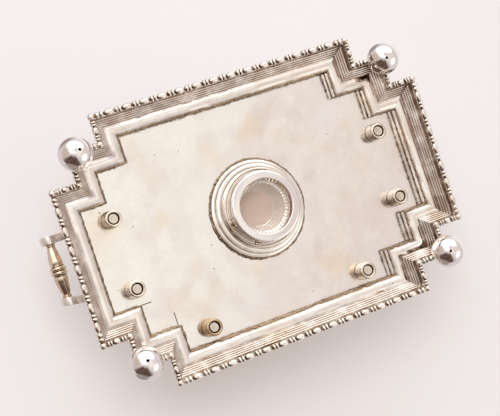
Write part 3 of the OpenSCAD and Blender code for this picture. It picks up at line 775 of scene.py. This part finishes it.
# ------------------------------------------------------------------ soldered collar
CUP_R = 17.1 * MM
CUP_HOLE_R = 13.15 * MM
COLLAR_IN_R = 18.3 * MM
# Each ring of the collar in millimetres: the radii of its groove and its edge, then their heights over
# the collar's lowest edge
COLLAR_RINGS = ((19.5, 21.3, 3.5, 3.75), (21.75, 23.3, 5.55, 5.8))
AROUND = 128


def collar_profile():
    """The collar's section as (radius, height, darkening).

    Solder fills the groove beside the cup, then come a rolled edge and the stepped rings. The groove, the
    grooves of the rings and the edge at the plate are darkened.
    """
    low = collar_lo.z
    points = [(CUP_R, plate_z, 0.0), (CUP_R, low + 0.75 * MM, 0.0), (CUP_R + 0.5 * MM, low + 0.6 * MM, 0.0)]
    points += [(COLLAR_IN_R - 0.1 * MM, low + 0.8 * MM, 0.9), (COLLAR_IN_R, low + 0.3 * MM, 0.4)]
    edge_r = 0.45 * MM
    points += [(x, z, 0.0) for x, z in arc(COLLAR_IN_R + edge_r, low + 0.4 * MM, edge_r, 180, 345, 10)]
    for groove, edge, foot, crown in COLLAR_RINGS:
        start = groove + 0.15
        points.append(((groove - 0.1) * MM, low + (foot - 0.3) * MM, 0.1))
        points.append((groove * MM, low + foot * MM, 0.7))
        points.append((start * MM, low + (foot - 0.05) * MM, 0.3))
        for k in range(1, 7):
            t = k / 6
            swell = 0.18 * math.sin(math.pi * t)
            out, up = start + (edge - start) * t, foot + (crown - foot) * t - swell
            points.append((out * MM, low + up * MM, 0.0))
        rolled = arc(edge * MM, low + (crown + 0.35) * MM, 0.35 * MM, 280, 355, 5)
        points += [(x, z, 0.0) for x, z in rolled]
    points.append((collar_r - 0.2 * MM, plate_z - 0.55 * MM, 0.8))
    return points + [(collar_r, plate_z - 0.3 * MM, 0.9), (collar_r, plate_z, 0.9)]


def collar():
    """The collar under the plate, which steps down to the cup."""
    points = collar_profile()
    verts, faces = lathe([p[:2] for p in points], AROUND)
    soil_and_painted_light = [p[2] for p in points for _ in range(AROUND)]
    made = mesh_piece("collar_rings", verts, faces, collar_silver, "tray", 40, soil_and_painted_light)
    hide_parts("well_collar")


collar()


# ------------------------------------------------------------------ polished flange
def flange():
    """The well's flange, slightly crowned between its rounded edges."""
    lo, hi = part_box("well_rim")
    outer, edge_r, steps = hi.x, 0.6 * MM, 14
    shaded_above = lo.z + 0.75 * MM
    profile = [(CUP_HOLE_R, hi.z), (CUP_HOLE_R, lo.z + 0.8 * MM), (CUP_HOLE_R, lo.z + 0.7 * MM)]
    profile += arc(CUP_HOLE_R + 0.5 * MM, lo.z + 0.62 * MM, 0.5 * MM, 180, 255, 6)
    for k in range(1, steps):
        t = k / steps
        out = CUP_HOLE_R + 0.4 * MM + (outer - CUP_HOLE_R - 1.0 * MM) * t
        profile.append((out, lo.z + 0.05 * MM + 0.35 * MM * t ** 1.3))
    profile += arc(outer - edge_r, lo.z + 1.1 * MM, edge_r, 290, 360, 8)
    profile += [(outer, hi.z), (CUP_HOLE_R, hi.z)]
    # painted shade: the wall of the hole is darkened all round
    soil_and_painted_light = []
    for r, h in profile:
        soil_and_painted_light += [0.95 if r == CUP_HOLE_R and h > shaded_above else 0.0] * AROUND
    made = mesh_piece("flange_shell", *lathe(profile, AROUND), bright_silver, "tray", 40, soil_and_painted_light)
    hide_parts("well_rim")


flange()


# ------------------------------------------------------------------ glass
glass_lo, glass_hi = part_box("glass_well")
foot_z, mouth_z = glass_lo.z, glass_hi.z
glass_r = glass_hi.x
body_z = plate_hi.z + 2 * MM
PUNT_R, PUNT_Z = 8.45 * MM, body_z - 1.9 * MM
FOOT_IN_R, FOOT_OUT_R = 11.4 * MM, 15.0 * MM
SHOULDER_Z = plate_hi.z + 24 * MM
NECK_OUT_R, NECK_Z = 13.2 * MM, mouth_z - 7 * MM
MOUTH_R = 9.5 * MM
INK_R = glass_r - 7 * MM
INK_FLOOR_Z = body_z + 4 * MM


def bottle_foot():
    """The punt's plain disc, the slope round it, the flat ring that stands in the cup, and its side."""
    profile = [(0.0, PUNT_Z)] + [(PUNT_R * k / 6, PUNT_Z) for k in range(1, 7)]
    profile.append((PUNT_R + 0.3 * MM, PUNT_Z - 0.5 * MM))
    slope = 16
    top, fall = PUNT_Z - 0.7 * MM, foot_z + 0.9 * MM - PUNT_Z + 0.7 * MM
    for k in range(slope + 1):
        profile.append((PUNT_R + (FOOT_IN_R - PUNT_R) * (0.12 + 0.88 * k / slope), top + fall * k / slope))
    profile.append((FOOT_IN_R + 0.2 * MM, foot_z + 0.3 * MM))
    for k in range(9):
        profile.append((FOOT_IN_R + (FOOT_OUT_R - FOOT_IN_R) * (0.12 + 0.82 * k / 8), foot_z + 0.25 * MM))
    return profile + [(FOOT_OUT_R, foot_z + 0.6 * MM), (FOOT_OUT_R, body_z - 0.7 * MM)]


def bottle_body():
    """The outside from the body's lower edge over the shoulder to the mouth."""
    profile = [(FOOT_OUT_R + 0.5 * MM, body_z)]
    profile += arc(glass_r - 0.9 * MM, body_z + 0.9 * MM, 0.9 * MM, 270, 360, 6)
    height = SHOULDER_Z - 3 * MM - body_z
    profile += [(glass_r, body_z + height * (0.1 + 0.9 * k / 8)) for k in range(9)]
    profile += arc(glass_r - 3 * MM, SHOULDER_Z - 3 * MM, 3 * MM, 10, 65, 6)
    start, stop = profile[-1], (NECK_OUT_R, NECK_Z)
    for k in range(1, 9):
        t = k / 8
        out = start[0] + (stop[0] - start[0]) * (1 - (1 - t) ** 1.6)
        profile.append((out, start[1] + (stop[1] - start[1]) * t ** 1.15))
    profile += [(NECK_OUT_R, mouth_z - 0.6 * MM), (NECK_OUT_R - 0.5 * MM, mouth_z)]
    return profile + [(MOUTH_R + 0.5 * MM, mouth_z), (MOUTH_R, mouth_z - 0.5 * MM)]


def bottle_hollow():
    """The hollow for the ink, from the mouth down to the middle of its floor."""
    top = NECK_Z - 2 * MM
    profile = [(MOUTH_R, top)]
    for k in range(1, 7):
        out = MOUTH_R + (INK_R - MOUTH_R) * (k / 6)
        profile.append((out, top - (NECK_Z - SHOULDER_Z + 5 * MM) * (k / 6) ** 1.8))
    profile.append((INK_R, INK_FLOOR_Z + 2 * MM))
    profile += arc(INK_R - 2 * MM, INK_FLOOR_Z + 2 * MM, 2 * MM, 0, -90, 6)
    return profile + [(INK_R * (1 - k / 5) * 0.9, INK_FLOOR_Z) for k in range(5)] + [(0.0, INK_FLOOR_Z)]


def glass_cuts(r, h, turn):
    """Moves a point of the glass for the flutes on its foot, the cross cuts on its slope or its panels."""
    if FOOT_IN_R < r < FOOT_OUT_R and h < foot_z + 0.5 * MM:
        h += 0.22 * MM * (1 - abs(math.cos(24 * turn)) ** 0.6)
    elif PUNT_R + 0.5 * MM < r < FOOT_IN_R and foot_z + MM < h < PUNT_Z:
        along = (r - PUNT_R) / (FOOT_IN_R - PUNT_R)
        h += 0.16 * MM * math.sin(24 * turn + 16 * along) * math.sin(24 * turn - 16 * along)
    elif r > glass_r - 0.1 * MM and body_z + MM < h:
        r -= 0.55 * MM * (1 - abs(math.sin(8 * turn)) ** 0.5) * min(1, (h - body_z - MM) / (4 * MM))
    return r, h


def cut_bottle():
    """The glass inkwell, ground on the disc and worn on the slope and ring of its foot."""
    profile = bottle_foot() + bottle_body() + bottle_hollow()
    verts, faces = lathe(profile, 288, shape=glass_cuts)
    made = mesh_piece("glass_bottle", verts, faces, glass, "inkwell", 25)
    made.data.materials.append(foot_glass)
    made.data.materials.append(ground_glass)
    for face in made.data.polygons:
        x, y, z = face.center
        out = math.hypot(x, y)
        if out < PUNT_R and z < PUNT_Z + 0.2 * MM:
            face.material_index = 2
        elif out < FOOT_OUT_R and foot_z - MM < z < PUNT_Z and face.normal.z < -0.2:
            face.material_index = 1
    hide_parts("glass_well")


cut_bottle()


# ------------------------------------------------------------------ handles
GRIP_R = 3.5 * MM
GRIP_FLATS = 8
ROD_R = 1.2 * MM


def grip_profile(half, ring_w):
    """Half of a handle's bar as (radius, distance from the middle): a tapered barrel and an end bead."""
    tail = half - 1.4 * MM
    start = ring_w + 0.5 * MM
    profile = [(0.0, ring_w), (GRIP_R * 0.80, ring_w), (GRIP_R * 0.92, ring_w + 0.3 * MM)]
    for k in range(13):
        t = k / 12
        swell = GRIP_R * (0.94 + 0.06 * math.sin(math.pi * min(1, t * 3)))
        taper = (swell - 1.9 * MM) * max(0, (t - 0.2) / 0.8) ** 1.7
        profile.append((swell - taper, start + (tail - start) * t))
    profile += [(2.15 * MM, tail + 0.1 * MM), (2.3 * MM, tail + 0.6 * MM)]
    return profile + [(2.15 * MM, half - 0.1 * MM), (2.0 * MM, half), (0.0, half)]


def tapered_grip(middle, half, way, ring_w):
    """One faceted half of a handle's bar, from its ring to its arm, with softened edges."""
    tail = half - 1.4 * MM

    def facets(r, h, turn):
        if ring_w + 0.4 * MM < h < tail:
            part = (turn * GRIP_FLATS / (2 * math.pi)) % 1 - 0.5
            face = math.cos(math.pi / GRIP_FLATS) / math.cos(part * 2 * math.pi / GRIP_FLATS)
            r *= 0.15 + 0.85 * face
        return r, h

    turn = Vector((0, way, 0)).to_track_quat("Z", "X").to_matrix()
    return lathe(grip_profile(half, ring_w), 64, lambda p: middle + turn @ p, facets)


def handle_bar(side_name):
    """The two grips of a handle and the double ring between them."""
    grip_lo, grip_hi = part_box(side_name + "_handle_grips")
    ring_lo, ring_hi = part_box(side_name + "_handle_ring")
    middle = (grip_lo + grip_hi) / 2
    half = (grip_hi.y - grip_lo.y) / 2
    ring_w = (ring_hi.y - ring_lo.y) / 2
    grips = [tapered_grip(middle, half, way, ring_w) for way in (1, -1)]
    grip = mesh_piece(side_name + "_grip_barrels", *joined(grips), handle_silver, "tray")
    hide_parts(side_name + "_handle_grips")
    bead_r = ring_w / 2
    crest_r = (ring_hi.x - ring_lo.x) / 2 - bead_r
    profile = [(ROD_R, -ring_w)]
    for centre in (-bead_r, bead_r):
        profile += arc(crest_r, centre, bead_r, -88, 88, 10)
    profile.append((ROD_R, ring_w))
    turn = Vector((0, 1, 0)).to_track_quat("Z", "X").to_matrix()
    rings = lathe(profile, 48, lambda p: middle + turn @ p)
    double = mesh_piece(side_name + "_double_ring", *rings, handle_silver, "tray")
    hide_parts(side_name + "_handle_ring")


for side_name in SIDES:
    handle_bar(side_name)


# ------------------------------------------------------------------ cast pieces with worn edges
def softened(node_name, width, material):
    """The node's own shape with its sharp edges rounded off."""
    mesh = bmesh.new()
    mesh.from_mesh(nodes[node_name].data)
    bmesh.ops.remove_doubles(mesh, verts=mesh.verts, dist=0.002 * MM)
    bmesh.ops.dissolve_limit(mesh, angle_limit=math.radians(1), verts=mesh.verts, edges=mesh.edges)
    sharp = [e for e in mesh.edges if len(e.link_faces) == 2 and e.calc_face_angle() > math.radians(35)]
    rounding = {"offset_type": "OFFSET", "segments": 3, "profile": 0.6, "clamp_overlap": True}
    bmesh.ops.bevel(mesh, geom=sharp, offset=width, affect="EDGES", **rounding)
    bmesh.ops.triangulate(mesh, faces=[f for f in mesh.faces if len(f.verts) > 4])
    data = bpy.data.meshes.new(node_name + "_cast")
    mesh.to_mesh(data)
    mesh.free()
    data.shade_smooth()
    data.set_sharp_from_angle(angle=math.radians(38))
    made = bpy.data.objects.new(node_name + "_cast", data)
    bpy.context.scene.collection.objects.link(made)
    paint(made, material)
    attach(made, "tray")
    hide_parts(node_name)


ARM_EDGE_R = 1.1 * MM
REST_EDGE_R = 0.5 * MM
for side_name in SIDES:
    for arm_name in ("straight", "toed"):
        softened(f"{side_name}_handle_{arm_name}_arm", ARM_EDGE_R, arm_silver)
    softened(side_name + "_pen_rest", REST_EDGE_R, lid_silver)


# ------------------------------------------------------------------ stage and light
# the sheets glow by this share, painted light that pales their shadows; the warm glow colours are what a
# shadow keeps, a painted warm shadow tone
GLOW = 0.38
WARM, WARM_LOW = (0.91, 0.83, 0.77), (0.90, 0.82, 0.76)


def one_sided(name, colour, face_is_front):
    """A matt surface mixed with a warm glow, painted light that lifts it and shows alone in its shadows as a
    painted warm shadow tone; only its front shows, so that the camera sees past its back.
    """
    made = bpy.data.materials.new(name)
    s = Shader(made)
    where = s.add("ShaderNodeTexCoord").outputs["Object"]
    low, high = rgb(*(c * 0.985 for c in colour)), rgb(*colour)
    tint = s.mix(s.noise(where, 8, 3), low, high)
    flat = s.add("ShaderNodeBsdfDiffuse")
    s.put(flat.inputs["Color"], tint)
    glow = s.add("ShaderNodeEmission")
    s.put(glow.inputs["Color"], s.mix(s.noise(where, 8, 3), rgb(*WARM_LOW), rgb(*WARM)))
    matt_and_glow = s.add("ShaderNodeMixShader")
    matt_and_glow.inputs[0].default_value = GLOW
    s.tree.links.new(flat.outputs[0], matt_and_glow.inputs[1])
    s.tree.links.new(glow.outputs[0], matt_and_glow.inputs[2])
    clear = s.add("ShaderNodeBsdfTransparent")
    join = s.add("ShaderNodeMixShader")
    s.tree.links.new(s.add("ShaderNodeNewGeometry").outputs["Backfacing"], join.inputs[0])
    s.tree.links.new((matt_and_glow if face_is_front else clear).outputs[0], join.inputs[1])
    s.tree.links.new((clear if face_is_front else matt_and_glow).outputs[0], join.inputs[2])
    s.tree.links.new(join.outputs[0], s.add("ShaderNodeOutputMaterial").inputs[0])
    return made


def sheet(name, z, face_is_front, colour):
    """A large flat sheet that only the camera sees, and that casts no shadow."""
    size = 3.0
    corners = [(-size, -size, z), (size, -size, z), (size, size, z), (-size, size, z)]
    data = bpy.data.meshes.new(name)
    data.from_pydata(corners, [], [(0, 1, 2, 3)])
    made = bpy.data.objects.new(name, data)
    bpy.context.scene.collection.objects.link(made)
    paint(made, one_sided(name + "_matt", colour, face_is_front))
    for ray in ("diffuse", "glossy", "transmission", "volume_scatter", "shadow"):
        setattr(made, "visible_" + ray, False)


sheet("floor", 0.0, True, (0.94, 0.93, 0.92))
sheet("backdrop", cad_box[1].z + 1 * MM, False, (0.86, 0.87, 0.895))


def lamp(name, way, distance, size, power, colour):
    """A round lamp that faces the tray and isn't mirrored."""
    data = bpy.data.lights.new(name, "AREA")
    data.shape = "DISK"
    data.size = size
    data.energy = power
    data.color = colour
    made = bpy.data.objects.new(name, data)
    made.location = Vector((0, 0, 0.03)) + way * distance
    made.rotation_euler = way.to_track_quat("Z", "Y").to_euler()
    made.visible_glossy = False
    bpy.context.scene.collection.objects.link(made)


lamp("key_below", picture_way(0.0, 0.3, 0.95), distance=1.6, size=0.8, power=15.0, colour=(1.0, 0.985, 0.97))
ABOVE = Vector((-0.4, -0.5, 0.8)).normalized()
lamp("fill_above", ABOVE, distance=0.9, size=0.6, power=6.0, colour=(1.0, 0.98, 0.96))


def room():
    """A pale room with a white softbox over the camera, a dark place under it and a pale table behind."""
    world = bpy.data.worlds.new("room")
    bpy.context.scene.world = world
    s = Shader(world)
    way = s.add("ShaderNodeTexCoord").outputs["Generated"]
    shade = rgb(0.86, 0.83, 0.82)

    def zone(direction, inner, outer, colour):
        nonlocal shade
        lean = s.vector("DOT_PRODUCT", way, tuple(direction), "Value")
        share = s.ramp(lean, math.cos(math.radians(outer)), math.cos(math.radians(inner)))
        shade = s.mix(share, shade, colour)

    right = s.vector("DOT_PRODUCT", way, tuple(LEFT_TO_RIGHT), "Value")
    up = s.vector("DOT_PRODUCT", way, tuple(UP), "Value")
    near = s.vector("DOT_PRODUCT", way, tuple(TO_CAMERA), "Value")
    # the softbox, then what the plate, the flange and the balls mirror round it
    zone(picture_way(0.0, 0.7, 0.55), 34, 58, (2.0, 1.96, 1.92, 1.0))
    zone(picture_way(0.6, 0.2, 0.75), 16, 40, rgb(0.95, 0.93, 0.92))
    zone(picture_way(0.45, 0.2, 0.87), 6, 20, rgb(0.99, 0.97, 0.94))
    zone(picture_way(0.18, 0.42, 0.89), 5, 20, rgb(0.88, 0.84, 0.87))
    zone(picture_way(0.80, 0.14, 0.58), 5, 20, rgb(0.90, 0.85, 0.83))
    zone(picture_way(0.92, -0.3, 0.25), 6, 26, (1.35, 1.32, 1.28, 1.0))
    zone(picture_way(-0.9, 0.1, 0.4), 10, 45, rgb(0.80, 0.74, 0.70))
    # the dark room under the camera: a fan about the way down, from near the camera to the table's edge
    squares = s.math("ADD", s.math("MULTIPLY", right, right), s.math("MULTIPLY", up, up))
    round_view = s.math("SQRT", squares)
    lean = s.math("ADD", s.math("MULTIPLY", up, -0.96), s.math("MULTIPLY", right, -0.28))
    down = s.math("DIVIDE", lean, s.math("MAXIMUM", round_view, 0.001))
    fan = s.math("MULTIPLY", s.ramp(down, 0.5, 0.82), s.ramp(near, -0.16, 0.12))
    fan = s.math("MULTIPLY", fan, s.ramp(round_view, 0.1, 0.5))
    streaks = s.noise(s.vector("MULTIPLY", way, (9.0, 9.0, 1.5)), 1.6, 4)
    dark = s.mix(s.ramp(streaks, 0.35, 0.7), rgb(0.26, 0.19, 0.18), rgb(0.50, 0.41, 0.36))
    shade = s.mix(fan, shade, dark)
    # the table behind the object
    shade = s.mix(s.ramp(near, -0.15, 0.0, 1.0, 0.0), shade, rgb(0.86, 0.83, 0.84))
    # soft dark and light places over the table, for the views from above
    zone(Vector((0.5, -0.8, 0.35)), 10, 34, rgb(0.62, 0.58, 0.56))
    zone(Vector((-0.8, 0.3, 0.6)), 15, 50, rgb(0.97, 0.96, 0.95))
    zone(Vector((0.1, 0.75, 0.65)), 8, 32, rgb(0.62, 0.57, 0.54))
    back = s.add("ShaderNodeBackground")
    s.put(back.inputs["Color"], shade)
    s.tree.links.new(back.outputs[0], s.add("ShaderNodeOutputWorld").inputs[0])


room()
